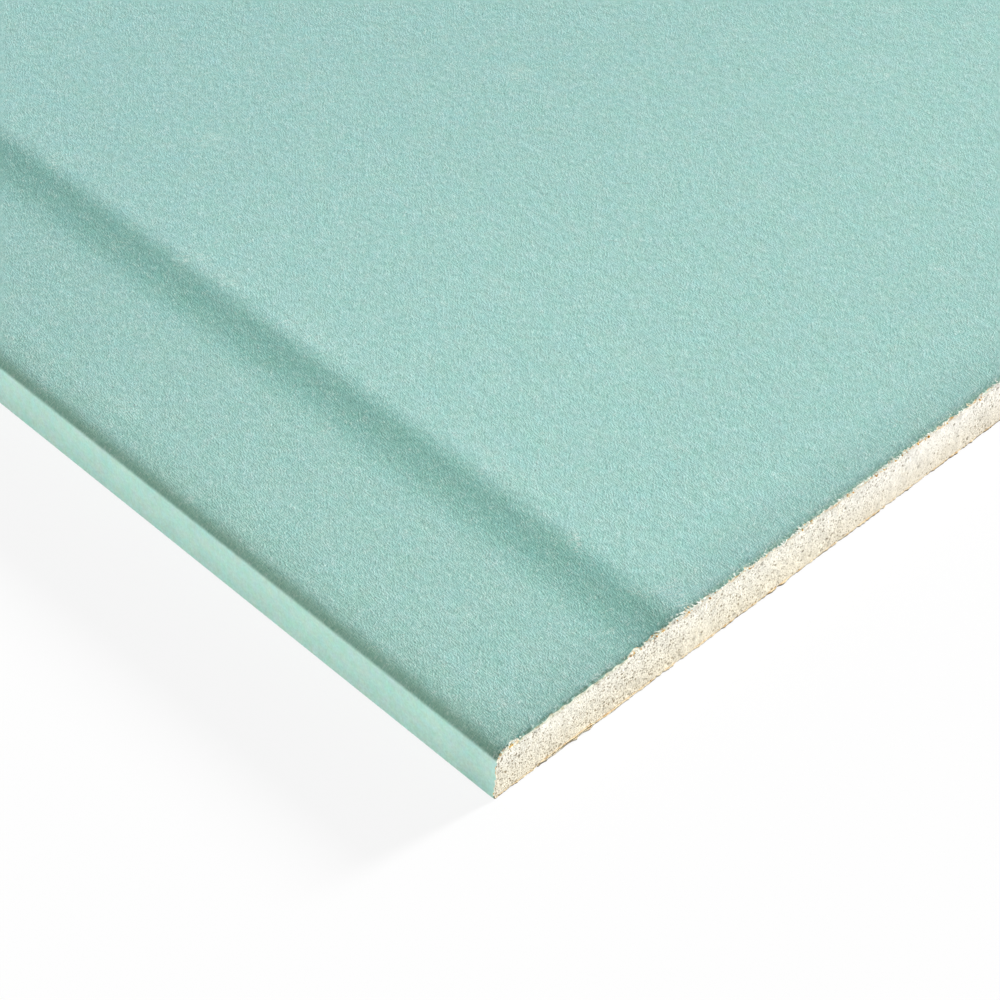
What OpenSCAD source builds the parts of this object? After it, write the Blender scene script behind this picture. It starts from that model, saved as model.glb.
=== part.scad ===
// Tapered-edge drywall sheet, lying face up on its back.
// X runs across the two paper-bound edges, Y along them and Z up from the back.
// The origin is at the middle of the underside.

/* [Sheet] */
// Length along the paper-bound edges, from cut end to cut end
sheet_length = 2400; // [1200:50:3600]
// Width over the paper-bound edges, measured at the back
sheet_width = 1200; // [600:50:1250]
// Thickness over both papers, away from the tapered edges
sheet_thickness = 12.5; // [9:0.5:19]

/* [Tapered edges] */
// Width of the shallow recess along each paper-bound edge
taper_width = 50; // [40:1:80]
// Width of the soft step between the recess and the face
step_width = 16; // [8:1:24]
// Height of that step
step_rise = 1.2; // [0.5:0.1:1.8]
// Fall of the recess floor from the step to the shoulder
floor_fall = 0.45; // [0:0.05:0.8]
// Width of the shoulder that rounds the recess down to the top crease
shoulder_width = 4.6; // [2:0.2:10]
// Drop of that shoulder
shoulder_drop = 0.85; // [0.5:0.05:1.5]
// Angle at which the edge leans in on its way up to the top crease
edge_lean = 4.6; // [0:0.2:12]

/* [Papers] */
// Thickness of the face paper
face_paper_thickness = 0.4; // [0.25:0.05:0.6]
// Inside radius of the creases that fold it round the edge
crease_inside_radius = 0.2; // [0.1:0.05:0.5]
// Width of the flap of face paper that is folded under each edge
flap_width = 25; // [15:1:40]
// Width of that flap left showing beside the back paper
flap_show = 10; // [4:1:13]
// Width over which the flap is pressed in to pass over the back paper
flap_joggle = 1; // [0.4:0.1:2]
// Thickness of the back paper
back_paper_thickness = 0.4; // [0.25:0.05:0.6]

/* [Hidden] */

half_width = sheet_width / 2;
liner_width = sheet_width - 2 * (flap_show + flap_joggle);

// Share of the step's width over which it curves up, before it rounds over on to the face
step_hollow_share = 0.62;
step_facets = 14;
shoulder_facets = 8;
crease_facets = 5;

// Heights up one edge
foot_z = sheet_thickness - step_rise;
recess_z = foot_z - floor_fall;
shoulder_z = recess_z - shoulder_drop;

// The edge climbs steeply between two round creases and leaves the upper one at the slope
// of the shoulder. Each crease is an arc about its own centre.
climb_angle = 90 - edge_lean;
shoulder_angle = atan(2 * shoulder_drop / shoulder_width);
crease_radius = face_paper_thickness + crease_inside_radius;
back_centre = [crease_radius, crease_radius];
climb_rise = shoulder_z - crease_radius * cos(shoulder_angle) - crease_radius;
top_centre = back_centre + [climb_rise / tan(climb_angle), climb_rise];

// Distances in from the edge
shoulder_in = top_centre.x - crease_radius * sin(shoulder_angle);
recess_in = shoulder_in + shoulder_width;
foot_in = taper_width - step_width;
floor_slope = floor_fall / (foot_in - recess_in);

// Points round a crease, on the side that faces out, as the line along it turns from one
// direction to another
function crease(centre, start, finish) =
    [for (i = [0 : crease_facets])
        let (angle = 90 + start + (finish - start) * i / crease_facets)
        centre + crease_radius * [cos(angle), sin(angle)]];

// Height above the shoulder's foot at share t of its width: steep at the crease, level at
// the recess
function shoulder_height(t) = shoulder_drop * (1 - pow(1 - t, 2));

// Height above the step's foot at share t of its width: a hollow curve that starts at the
// slope of the recess floor, then a rounded one that ends level with the face
function step_height(t) =
    let (run_in = floor_slope * step_width,
         hollow = (step_rise - run_in * (1 + step_hollow_share) / 2) / step_hollow_share,
         crown = (run_in + 2 * hollow * step_hollow_share) / (2 * (1 - step_hollow_share)))
    t < step_hollow_share
        ? run_in * t + hollow * t * t
        : step_rise - crown * pow(1 - t, 2);

// Outside of the face paper round one edge, as [distance in from the edge, height], from
// the end of the flap under the back to the crest of the step
edge_line = concat(
    [[flap_width, back_paper_thickness]],
    [[flap_show + flap_joggle, back_paper_thickness]],
    [[flap_show, 0]],
    crease(back_centre, 180, climb_angle),
    crease(top_centre, climb_angle, shoulder_angle),
    [for (i = [1 : shoulder_facets])
        let (t = i / shoulder_facets)
        [shoulder_in + shoulder_width * t, shoulder_z + shoulder_height(t)]],
    [for (i = [0 : step_facets])
        let (t = i / step_facets)
        [foot_in + step_width * t, foot_z + step_height(t)]]);

// Outside of the face paper right across the sheet, from flap to flap over the face
paper_outside = concat(
    [for (p = edge_line) [p.x - half_width, p.y]],
    [for (p = reversed(edge_line)) [half_width - p.x, p.y]]);

paper_inside = inset(paper_outside, face_paper_thickness);

function reversed(line) = [for (i = [len(line) - 1 : -1 : 0]) line[i]];

// Unit normal on the right-hand side of the way from a to b
function right_normal(a, b) = let (way = (b - a) / norm(b - a)) [way.y, -way.x];

// How a corner of a line moves when both lines that meet there move by one to the right
function mitre(line, i) =
    let (last = len(line) - 1,
         before = right_normal(line[max(i - 1, 0)], line[max(i, 1)]),
         after = right_normal(line[min(i, last - 1)], line[min(i + 1, last)]))
    (before + after) / (1 + before * after);

// The same line moved to its right by a distance
function inset(line, distance) =
    [for (i = [0 : len(line) - 1]) line[i] + distance * mitre(line, i)];

// Runs a section, drawn as [x, z], along the whole length of the sheet
module along_sheet() {
    rotate([90, 0, 0])
        linear_extrude(height = sheet_length, center = true)
            children();
}

// Cast gypsum: it fills the face paper, and its underside drops past the ends of the
// flaps to the back paper
module gypsum_core() {
    flap_end = half_width - flap_width;
    color("#EFE8D8")
        along_sheet()
            polygon(concat(
                paper_inside,
                [[flap_end, back_paper_thickness], [-flap_end, back_paper_thickness]]));
}

// One web of paper over the face, creased round both edges and folded under the back
module face_paper() {
    color("#A5CFC7")
        along_sheet()
            polygon(concat(paper_outside, reversed(paper_inside)));
}

// Liner over the back, lapped on to both flaps
module back_paper() {
    color("#B9A88E")
        along_sheet()
            translate([-liner_width / 2, 0])
                square([liner_width, back_paper_thickness]);
}

gypsum_core();
face_paper();
back_paper();
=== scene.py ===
# %% [markdown]
# # A sheet of drywall
# Drywall is a slab of gypsum cast between two papers. The frame holds it as three sharp solids: the
# core, the green face paper that wraps the long edges, and the brown back paper. This lesson builds
# each of them again as a mesh with the softness of the real one, then gives each a finish.

# %% Load the frame
import math

import bmesh
import bpy
import numpy as np
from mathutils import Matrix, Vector


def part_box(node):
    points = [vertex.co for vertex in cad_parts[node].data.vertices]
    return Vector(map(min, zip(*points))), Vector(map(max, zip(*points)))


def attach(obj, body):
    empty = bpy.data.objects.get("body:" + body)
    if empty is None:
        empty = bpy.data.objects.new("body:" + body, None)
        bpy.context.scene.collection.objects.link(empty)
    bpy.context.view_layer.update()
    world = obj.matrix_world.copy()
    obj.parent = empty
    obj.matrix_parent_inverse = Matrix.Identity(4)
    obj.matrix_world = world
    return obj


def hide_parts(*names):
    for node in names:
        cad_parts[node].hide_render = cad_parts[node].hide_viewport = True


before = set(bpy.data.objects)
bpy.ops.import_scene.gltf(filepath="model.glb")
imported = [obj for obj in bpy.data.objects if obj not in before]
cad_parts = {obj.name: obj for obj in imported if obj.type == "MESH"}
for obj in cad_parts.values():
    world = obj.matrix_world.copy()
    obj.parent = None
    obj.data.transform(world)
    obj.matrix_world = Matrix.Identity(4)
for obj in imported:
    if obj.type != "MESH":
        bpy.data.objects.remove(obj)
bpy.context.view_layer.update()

rng = np.random.default_rng(27)
print("frame nodes:", sorted(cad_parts))

# %% [markdown]
# ## Sizes from the frame
# The boxes of the three solids give every main size, so the meshes can't drift away from them. The
# sheet is drawn in millimetres, because paper is thin, and turned into metres when a mesh is made.

# %% Sizes of the sheet, in millimetres
MM = 0.001
paper_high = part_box("face_paper")[1] / MM
core_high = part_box("gypsum_core")[1] / MM
liner_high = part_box("back_paper")[1] / MM
HALF_WIDTH = paper_high.x
HALF_LENGTH = paper_high.y
THICKNESS = paper_high.z
PAPER = THICKNESS - core_high.z
LINER = liner_high.z
LINER_HALF = liner_high.x
print(f"sheet {2 * HALF_WIDTH:.0f} x {2 * HALF_LENGTH:.0f} x {THICKNESS:.1f} mm, paper {PAPER:.2f} mm")

# %% [markdown]
# ## One line round the edge
# A forming plate presses the long edges while the gypsum is wet. It leaves a leaning edge between two
# creases, a curved shoulder, a shallow recess for jointing tape, and a soft step up to the face. All
# of it is one section that never changes along the sheet, so a line of points describes it. A
# formula for each stretch keeps the curves smooth, which a few bevels on a box would not.

# %% Sizes of the tapered edge
TAPER_WIDTH = 50.0
STEP_WIDTH = 16.0
STEP_RISE = 1.2
STEP_HOLLOW = 0.62
FLOOR_FALL = 0.45
SHOULDER_WIDTH = 4.6
SHOULDER_DROP = 0.85
EDGE_LEAN = 4.6
CREASE = PAPER + 0.2
FLAP_WIDTH = 25.0
FLAP_JOGGLE = 1.0
FLAP_SHOW = HALF_WIDTH - LINER_HALF - FLAP_JOGGLE
FLAP_STOPS = [[4, 0], [1.5, 0]]
FOOT_IN = TAPER_WIDTH - STEP_WIDTH
CREASE_POINTS, CLIMB_POINTS, SHOULDER_POINTS = 11, 4, 19
FLOOR_POINTS, STEP_POINTS, FACE_POINTS = 9, 41, 14
print(f"taper {TAPER_WIDTH:.0f} mm wide, its step starts {FOOT_IN:.0f} mm in")


def crease(centre, start, finish):
    """Points round the outside of a crease while the paper turns from one direction to another."""
    turn = np.radians(90 + np.linspace(start, finish, CREASE_POINTS))
    return centre + CREASE * np.column_stack([np.cos(turn), np.sin(turn)])


def step_height(t, run_in):
    """Height of the step at share t of its width: hollow at first, then rounded on to the face."""
    hollow = (STEP_RISE - run_in * (1 + STEP_HOLLOW) / 2) / STEP_HOLLOW
    crown = (run_in + 2 * hollow * STEP_HOLLOW) / (2 * (1 - STEP_HOLLOW))
    return np.where(t < STEP_HOLLOW, run_in * t + hollow * t * t, STEP_RISE - crown * (1 - t) ** 2)


# %% The line from the flap under the back to the middle of the face
def edge_line():
    """Outside of the face paper round one edge, as [distance in from the edge, height]."""
    foot_z = THICKNESS - STEP_RISE
    recess_z = foot_z - FLOOR_FALL
    shoulder_z = recess_z - SHOULDER_DROP
    climb = 90 - EDGE_LEAN
    shoulder = math.atan(2 * SHOULDER_DROP / SHOULDER_WIDTH)
    back_centre = np.array([CREASE, CREASE])
    rise = shoulder_z - CREASE * (1 + math.cos(shoulder))
    top_centre = back_centre + [rise / math.tan(math.radians(climb)), rise]
    shoulder_in = top_centre[0] - CREASE * math.sin(shoulder)
    recess_in = shoulder_in + SHOULDER_WIDTH
    slope = FLOOR_FALL / (FOOT_IN - recess_in)

    flap = [[FLAP_WIDTH, LINER], [FLAP_SHOW + FLAP_JOGGLE, LINER], [FLAP_SHOW, 0]] + FLAP_STOPS
    climbing = np.linspace(0.2, 0.8, CLIMB_POINTS)[:, None] * (top_centre - back_centre)
    nose_side = back_centre + CREASE * np.array([-math.cos(math.radians(EDGE_LEAN)), 0.0])
    t = np.linspace(0, 1, SHOULDER_POINTS)[1:]
    curve = [shoulder_in + SHOULDER_WIDTH * t, shoulder_z + SHOULDER_DROP * (1 - (1 - t) ** 2)]
    flat = np.linspace(recess_in, FOOT_IN, FLOOR_POINTS)[1:-1]
    floor = [flat, recess_z + slope * (flat - recess_in)]
    t = np.linspace(0, 1, STEP_POINTS)
    step = [FOOT_IN + STEP_WIDTH * t, foot_z + step_height(t, slope * STEP_WIDTH)]
    face_in = TAPER_WIDTH + np.geomspace(2, HALF_WIDTH - TAPER_WIDTH, FACE_POINTS)
    face = [face_in, np.full_like(face_in, THICKNESS)]
    return np.vstack([
        flap,
        crease(back_centre, 180, climb),
        nose_side + climbing,
        crease(top_centre, climb, math.degrees(shoulder)),
        np.column_stack(curve),
        np.column_stack(floor),
        np.column_stack(step),
        np.column_stack(face),
    ])


half_line = edge_line()
left_half = half_line - [HALF_WIDTH, 0]
right_half = half_line[-2::-1] * [-1, 1] + [HALF_WIDTH, 0]
face_line = np.vstack([left_half, right_half])
print(len(face_line), "points in the section of the face paper")

# %% [markdown]
# ## Measuring along a line
# A paper has an outside and an inside a fixed distance apart. The inside is the outside moved along
# its normals, and the distance run along the line says where each column of points goes.


# %% Run and normals of a line
def run_of(line):
    """Distance along the line to each of its points."""
    return np.concatenate([[0], np.cumsum(np.linalg.norm(np.diff(line, axis=0), axis=1))])


def normals_of(line):
    """Unit normals on the right-hand side of the line, which is the inside of the sheet."""
    way = np.gradient(line, run_of(line), axis=0)
    way /= np.linalg.norm(way, axis=1)[:, None]
    return np.column_stack([way[:, 1], -way[:, 0]])


def along(line, values, places):
    """Values given at the points of a line, read at other places along it."""
    run = run_of(line)
    return np.column_stack([np.interp(places, run, column) for column in values.T])


inside_line = face_line + PAPER * normals_of(face_line)
print(f"the paper is {run_of(face_line)[-1]:.0f} mm from flap to flap")

# %% [markdown]
# ## Collecting a mesh
# Blender could start from a primitive and bend it, but these pieces mix fine cut ends with long plain
# runs, and no modifier makes that change of density cheaply. So points are added row by row, grids of
# them are filled with quads, and two rows with different counts are zipped together with triangles.


# %% A stock of points and faces
class Stock:
    """Points and faces of one piece, in millimetres, with a finish number for each face."""

    def __init__(self):
        self.points = []
        self.faces = []
        self.finishes = []
        self.count = 0

    def add(self, points):
        """Adds a row or grid of points and returns their numbers in the same layout."""
        points = np.asarray(points, float)
        size = points.size // 3
        numbers = self.count + np.arange(size).reshape(points.shape[:-1])
        self.points.append(points.reshape(-1, 3))
        self.count += size
        return numbers

    def take(self, faces, finish):
        self.faces.extend(faces)
        self.finishes.extend([finish] * len(faces))

    def fill(self, grid, finish=0):
        """Fills a grid of point numbers with quads. The finish is one number, or one for each quad."""
        corners = [grid[:-1, :-1], grid[:-1, 1:], grid[1:, 1:], grid[1:, :-1]]
        self.faces.extend(np.stack(corners, -1).reshape(-1, 4).tolist())
        self.finishes.extend(np.broadcast_to(finish, corners[0].shape).ravel().tolist())

    def zip_rows(self, row_a, at_a, row_b, at_b, finish=0):
        """Fills the strip between two rows that run the same way with triangles."""
        a, b = 0, 0
        last_a, last_b = len(row_a) - 1, len(row_b) - 1
        made = []
        while a < last_a or b < last_b:
            if b == last_b or (a < last_a and at_a[a + 1] <= at_b[b + 1]):
                made.append((int(row_a[a]), int(row_a[a + 1]), int(row_b[b])))
                a += 1
            else:
                made.append((int(row_a[a]), int(row_b[b + 1]), int(row_b[b])))
                b += 1
        self.take(made, finish)


# %% From a stock to an object that rides on the frame
SHARP_ANGLE = math.radians(40)


def make_piece(name, stock, finishes, node=None):
    """Turns a stock into a smooth-shaded object with sharp cut edges."""
    mesh = bpy.data.meshes.new(name)
    mesh.from_pydata((np.vstack(stock.points) * MM).tolist(), [], stock.faces)
    for finish in finishes:
        mesh.materials.append(finish)
    mesh.polygons.foreach_set("material_index", stock.finishes)
    shaped = bmesh.new()
    shaped.from_mesh(mesh)
    bmesh.ops.recalc_face_normals(shaped, faces=shaped.faces)
    shaped.to_mesh(mesh)
    shaped.free()
    mesh.polygons.foreach_set("use_smooth", [True] * len(mesh.polygons))
    mesh.set_sharp_from_angle(angle=SHARP_ANGLE)
    piece = bpy.data.objects.new(name, mesh)
    bpy.context.scene.collection.objects.link(piece)
    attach(piece, "root")
    if node:
        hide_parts(node)
    triangles = sum(len(face) - 2 for face in stock.faces)
    print(f"{name}: {stock.count} points, {triangles} triangles")


# %% [markdown]
# ## Shader maths as sums
# A finish is a tree of nodes, and most of them are plain arithmetic. Wrapping a socket in a small class
# with overloaded operators lets the arithmetic be written as arithmetic. Any other node comes from one
# method that takes its type, its settings and its sockets. The world is such a tree too, so that method
# belongs to a class for trees, and a finish adds the shader that only a material has.


# %% A value that varies over a surface
class Value:
    """A socket in a tree of nodes. Sums of values add Math nodes."""

    def __init__(self, tree, socket):
        self.tree = tree
        self.socket = socket

    def math(self, operation, first, second=0.0):
        return self.tree.node("ShaderNodeMath", {"operation": operation}, {0: first, 1: second})

    def __add__(self, other):
        return self.math("ADD", self, other)

    def __sub__(self, other):
        return self.math("SUBTRACT", self, other)

    def __rsub__(self, other):
        return self.math("SUBTRACT", other, self)

    def __mul__(self, other):
        return self.math("MULTIPLY", self, other)

    def __abs__(self):
        return self.math("ABSOLUTE", self)

    __radd__ = __add__
    __rmul__ = __mul__

    def between(self, low, high):
        """0 up to low, 1 from high on, and a soft ramp between. It falls where low is over high."""
        settings = {"interpolation_type": "SMOOTHSTEP"}
        sockets = {"Value": self, "From Min": low, "From Max": high}
        return self.tree.node("ShaderNodeMapRange", settings, sockets)

    def band(self, start, full, fade, end):
        """1 from full to fade, and 0 up to start and from end on."""
        return self.between(start, full) * self.between(end, fade)

    def other(self, output):
        """Another output of the node that this value comes from."""
        return Value(self.tree, self.socket.node.outputs[output])


# %% A tree with one method for nodes, and a finish built on it
SHEEN = 0.15


class Tree:
    """The nodes of a material or of the world."""

    def __init__(self, owner):
        owner.use_nodes = True
        self.nodes = owner.node_tree.nodes
        self.links = owner.node_tree.links

    def node(self, kind, settings, sockets, output=0):
        """Adds a node, sets it up, fills its sockets and returns one of its outputs."""
        node = self.nodes.new(kind)
        for key, value in settings.items():
            setattr(node, key, value)
        for key, value in sockets.items():
            self.fill(node.inputs[key], value)
        return Value(self, node.outputs[output])

    def fill(self, socket, value):
        if isinstance(value, Value):
            self.links.new(value.socket, socket)
        else:
            socket.default_value = value


class Finish(Tree):
    """A material built round one Principled shader."""

    def __init__(self, name, roughness):
        self.material = bpy.data.materials.new(name)
        super().__init__(self.material)
        self.shader = self.nodes["Principled BSDF"]
        self.shader.inputs["Roughness"].default_value = roughness
        self.shader.inputs["Specular IOR Level"].default_value = SHEEN

    def feed(self, name, value):
        self.fill(self.shader.inputs[name], value)

    def blend(self, share, first, second):
        """The first colour, turned into the second where share is 1."""
        return self.node("ShaderNodeMix", {"data_type": "RGBA"}, {0: share, 6: first, 7: second}, 2)

    def shade(self, colour, strength):
        """A colour made lighter or darker."""
        return self.node("ShaderNodeVectorMath", {"operation": "SCALE"}, {0: colour, "Scale": strength})

    def hue(self, colour, red, blue):
        """A colour with its red and its blue scaled, which turns its hue a little."""
        scale = self.node("ShaderNodeCombineXYZ", {}, {"X": red, "Y": 1.0, "Z": blue})
        return self.node("ShaderNodeVectorMath", {"operation": "MULTIPLY"}, {0: colour, 1: scale})

    def raise_by(self, height):
        """Bumps the surface by a height in millimetres."""
        sockets = {"Height": height, "Strength": 1.0, "Distance": MM}
        self.feed("Normal", self.node("ShaderNodeBump", {}, sockets))


def tint(red, green, blue):
    """A colour written as it looks on screen, from 0 to 255, as Blender's linear values."""
    shares = [level / 255 for level in (red, green, blue)]
    return tuple(s / 12.92 if s <= 0.04045 else ((s + 0.055) / 1.055) ** 2.4 for s in shares) + (1.0,)


# %% [markdown]
# ## Where a finish is
# Patterns are placed in the sheet's own millimetres, so a fibre is as long on the edge as on the face.
# Paper is flat stock bent round the edge, so its patterns are drawn on a flat lay: across the sheet plus
# up it in one direction, and along it in the other. That unrolls the edge without a UV map.


# %% Places
def spot_of(finish):
    """Position on the piece in millimetres."""
    metres = finish.node("ShaderNodeTexCoord", {}, {}, "Object")
    return finish.node("ShaderNodeVectorMath", {"operation": "SCALE"}, {0: metres, "Scale": 1 / MM})


def parts_of(finish, spot):
    """The three parts of a position: across the sheet, along it and up."""
    return [finish.node("ShaderNodeSeparateXYZ", {}, {0: spot}, axis) for axis in "XYZ"]


def flat_lay(finish, x, y, z):
    """Position on the paper as if it were unrolled."""
    return finish.node("ShaderNodeCombineXYZ", {}, {"X": x + z, "Y": y})


# %% Patterns
def cloud(finish, spot, size, detail, flat=True):
    """Soft random values about 0, with lumps of the given size."""
    settings = {"noise_dimensions": "2D" if flat else "3D"}
    sockets = {"Vector": spot, "Scale": 1 / size, "Detail": detail}
    return finish.node("ShaderNodeTexNoise", settings, sockets) - 0.5


def clouds(finish, spot, layers):
    """A sum of clouds, each given as its size, its detail and its strength."""
    return sum(cloud(finish, spot, size, detail) * strength for size, detail, strength in layers)


def drawn_out(finish, spot, turn, across, length):
    """Places stretched so that a round pattern on them turns into strokes, turned from the length."""
    turned = (0, 0, math.radians(turn))
    sockets = {"Vector": spot, "Rotation": turned, "Scale": (across, length, across)}
    return finish.node("ShaderNodeMapping", {"vector_type": "TEXTURE"}, sockets)


def strokes(finish, spot, turn, across, length, detail=1.0):
    """Soft random values drawn out into strokes."""
    return cloud(finish, drawn_out(finish, spot, turn, across, length), 1.0, detail)


def brushed(finish, spot, layers):
    """A sum of strokes, each given as its turn, width, length, detail and strength."""
    return sum(strokes(finish, spot, *shape) * strength for *shape, strength in layers)


def spots(finish, spot, size, radius, soft):
    """Round spots of about a radius, one to a cell of the given size, but only in some cells."""
    sockets = {"Vector": spot, "Scale": 1 / size}
    cell = finish.node("ShaderNodeTexVoronoi", {"voronoi_dimensions": "2D"}, sockets)
    chance = finish.node("ShaderNodeSeparateColor", {}, {0: cell.other("Color")})
    reach = chance * radius - cell * size
    return reach.between(0.0, soft)


# %% [markdown]
# ## Green face paper
# The face paper is several plies of recycled fibre with a green top ply. Close to, its surface is a mat
# of short fibres at many angles. They are far too many for geometry, so layers of noise, drawn out at a
# few angles, give both their relief and their light and dark. Over them lie slow changes of hue, a few
# dark specks and rubbed marks. Shade is painted into the recess, the step, the shoulder and the lip past
# it, the foot of the edge and the last millimetres before a cut end, and the edge is painted lighter.
# Painted light also makes the paper paler and warmer toward the cut ends and darker and bluer further in.
# The knife has roughened the last millimetre: on the face it splits into pale teeth with painted shadow
# between them, and a painted shadow with dark burr runs along the cut, strongest in the recess.

# %% Colours of the face paper
FACE_GREEN = tint(162, 207, 199)
# Painted shade: a slightly darker green for the recess
RECESS_SHADE_GREEN = tint(159, 203, 194)
# Painted shade: darker greens for the step and the shoulder of the edge
STEP_SHADE_GREEN = tint(140, 193, 181)
SHOULDER_SHADE_GREEN = tint(147, 192, 172)
# Painted light: the edge is painted paler and yellower than the face
EDGE_GREEN_LIT = tint(184, 223, 210)
# Colour of the painted shadow and dark burr along the cut, and of the painted shadow between the teeth
CUT_BURR_AND_SHADOW = tint(86, 114, 94)
PALE_FIBRE = tint(226, 236, 230)
DEEP_GAP = tint(92, 156, 146)
RUBBED = tint(214, 228, 220)
FRAYED = tint(248, 252, 242)
BARE_PLY = tint(240, 208, 150)
SPECK = tint(52, 66, 62)

# %% Zones of the face paper: where each starts and is full, in millimetres in from the edge
EDGE_SIDE = (1.35, 0.95)
RECESS = (37, 31)
STEP_SLOPE = (30, 41.5, 44.5, 49.5)
CREST = (45, 48, 50, 56)
SHOULDER_TURN = (4.2, 1.7)
SHOULDER_SIDE = (13.0, 3.5)
LIP_SHADE = (4.6, 5.6, 5.6, 11.5)
BROW = (2.2, 3.2, 4.5, 7.5)
CORNER_ACROSS = (28, 12)
STANDS_BACK = (60, 46)
SPLITS = (36, 50)
BURR_SHADOW_FADES = (36, 46)

# %% Zones of the face paper: in from the cut end, and up the edge
FALLOFF_ALONG = (40, 220)
CORNER_ALONG = (28, 8)
EDGE_DARKER_NEAR_END = (14, 5)
CUT_SHADE_WIDE = (14, 1.5)
CUT_SHADE_NEAR = (2.6, 0.6)
OLIVE = (1.1, 0.3)
FRIZZY = (1.8, 0.3)
GAP_SHADOW_NEAR = (1.3, 0.4)
BURR_SHADOW_NEAR = (0.65, 0.2)
EDGE_UP = (10.2, 9.6)
EDGE_SHADE_UP = (8.5, -1.0)
CUT_OVERHANG, CUT_STEP = 0.28, 0.80
paper = Finish("green_face_paper", roughness=0.88)
x, y, z = parts_of(paper, spot_of(paper))
lay = flat_lay(paper, x, y, z)
from_edge = HALF_WIDTH - abs(x)
from_end = HALF_LENGTH - abs(y)
on_edge = from_edge.between(*EDGE_SIDE) * z.between(*EDGE_UP)
off_edge = 1 - on_edge
from_cut = from_end + CUT_OVERHANG - from_edge.between(*STANDS_BACK) * CUT_STEP
frizz = from_cut.between(*FRIZZY) * off_edge

# %% The mat of fibres: turn, width and length of each layer, then its share of the relief and the tone
FIBRE_LAYERS = [
    (-12, 0.26, 1.3, 0.35, 0.28),
    (9, 0.28, 1.2, 0.21, 0.19),
    (-40, 0.31, 1.5, 0.30, 0.27),
    (-66, 0.31, 1.3, 0.34, 0.44),
    (-86, 0.31, 1.2, 0.30, 0.64),
]
BUNDLE_LAYERS = [(-30, 0.85, 2.6, 0, 0.4), (-72, 0.8, 2.2, 0, 0.6)]
FELT_SIZE = 1.9
height = 0.0
tone = 0.0
for turn, across, length, raised, painted in FIBRE_LAYERS:
    layer = strokes(paper, lay, turn, across, length, 2)
    height = height + layer * raised
    tone = tone + layer * painted
bundles = brushed(paper, lay, BUNDLE_LAYERS)
felt = cloud(paper, lay, FELT_SIZE, 0)
rough = 1 - on_edge * 0.8
print("mat of fibres:", len(FIBRE_LAYERS), "layers and", len(BUNDLE_LAYERS), "of bundles")

# %% Single fibres that stand out of the mat: turn, width and length
LOOSE_LAYERS = [(-16, 0.22, 1.5), (28, 0.22, 1.3), (-58, 0.22, 1.4)]
loose = 0.0
for turn, across, length in LOOSE_LAYERS:
    loose = loose + spots(paper, drawn_out(paper, lay, turn, across, length), 1.0, 0.42, 0.16)
loose = loose * cloud(paper, lay, 2.4, 1).between(-0.05, 0.2)

# %% Greens of the face, with painted shade on the recess, the step and the shoulder, and painted light on the edge
# Painted shade in the recess
colour = paper.blend(from_edge.between(*RECESS) * 0.9, FACE_GREEN, RECESS_SHADE_GREEN)
# Painted shade on the slope of the step and, below, on the shoulder
colour = paper.blend(from_edge.band(*STEP_SLOPE), colour, STEP_SHADE_GREEN)
shoulder = from_edge.between(*SHOULDER_TURN) * 0.75 + from_edge.between(*SHOULDER_SIDE) * 0.25
colour = paper.blend(shoulder, colour, SHOULDER_SHADE_GREEN)
# Painted light on the edge
colour = paper.blend(on_edge, colour, EDGE_GREEN_LIT)
blotchy = 1 + on_edge * 2.4
warm = cloud(paper, lay, 3.0, 4) * 0.13 * blotchy + cloud(paper, lay, 8, 2) * 0.12
cool = cloud(paper, lay, 1.9, 3) * 0.07 * blotchy + cloud(paper, lay, 6, 2) * 0.085
olive = from_end.between(*OLIVE) * off_edge * 0.10
# Painted light: paler and warmer toward the cut ends, darker and bluer further in
painted_falloff = from_end.between(*FALLOFF_ALONG) * (1 - on_edge * 0.6)
colour = paper.hue(colour, 1 + warm - painted_falloff * 0.01, 1 + cool - olive + painted_falloff * 0.025)

# %% Light and dark of the face paper
DRIFT_LAYERS = [(160, 2, 0.06), (9, 3, 0.06)]
SMUDGE_LAYERS = [(0.5, 2, 0.24), (1.3, 3, 0.15), (6, 2, 0.10)]
grain = (tone * 0.24 + bundles * 0.07 + felt * 0.075) * rough * (1 + frizz * 0.8)
smudge = clouds(paper, lay, SMUDGE_LAYERS)
drift = clouds(paper, lay, DRIFT_LAYERS)
# Painted shade darkens the foot of the edge. The edge is also darker close to the cut end, and carries
# its own smudges.
edge_shade_and_smudge = on_edge * (z.between(*EDGE_SHADE_UP) * 0.16 + smudge + from_end.between(*EDGE_DARKER_NEAR_END) * 0.08)
# Painted shade just past the shoulder
lip_shade = from_edge.band(*LIP_SHADE) * 0.065
# Painted shade on the last few millimetres before the cut end
cut_edge_shade = from_end.between(*CUT_SHADE_NEAR) * (0.22 - tone * 0.3) + from_end.between(*CUT_SHADE_WIDE) * 0.12
# The level takes in the painted light that darkens the paper further in from the cut ends
level = 1 + drift + grain - edge_shade_and_smudge - lip_shade - painted_falloff * 0.08
colour = paper.shade(colour, level * (1 - cut_edge_shade * off_edge))
lit = tone.between(0.0, 0.3) * (0.30 + frizz * 0.2) + loose * 0.22
colour = paper.blend(lit * rough, colour, PALE_FIBRE)
sunk = tone.between(0.0, -0.3) * (0.30 + frizz * 0.3)
colour = paper.blend(sunk * rough, colour, DEEP_GAP)

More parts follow.
